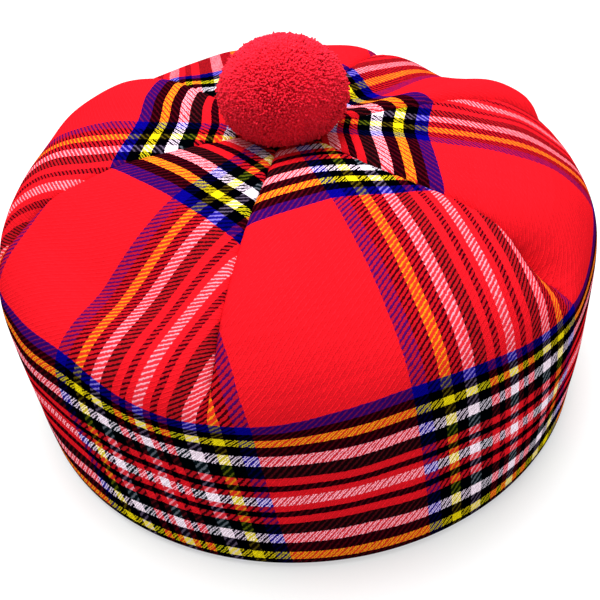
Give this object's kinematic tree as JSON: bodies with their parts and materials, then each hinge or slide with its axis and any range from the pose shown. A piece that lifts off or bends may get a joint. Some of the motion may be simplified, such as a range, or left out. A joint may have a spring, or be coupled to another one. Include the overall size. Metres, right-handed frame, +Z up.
{
  "type": "tam o shanter",
  "caption": "Soft wool tam o shanter: a full gored crown in tartan over a deep upright side, turned under to a round head opening, with a yarn pompom on top.",
  "frame": {"origin": "middle of the resting face on the floor, under the middle of the hat", "axes": "+Z up through the pompom, -Y towards the wearer's front, +X towards the wearer's left"},
  "size_m": [0.2699, 0.2694, 0.1607],
  "materials": {
    "tartan": "matte wool twill in a red tartan",
    "yarn": "matte cut wool yarn"
  },
  "bodies": {
    "root": {"crown_gore_1": "tartan", "crown_gore_2": "tartan", "crown_gore_3": "tartan", "crown_gore_4": "tartan", "crown_gore_5": "tartan", "crown_gore_6": "tartan", "side_band": "tartan", "underside_ring": "tartan", "pompom": "yarn"}
  },
  "joints": []
}
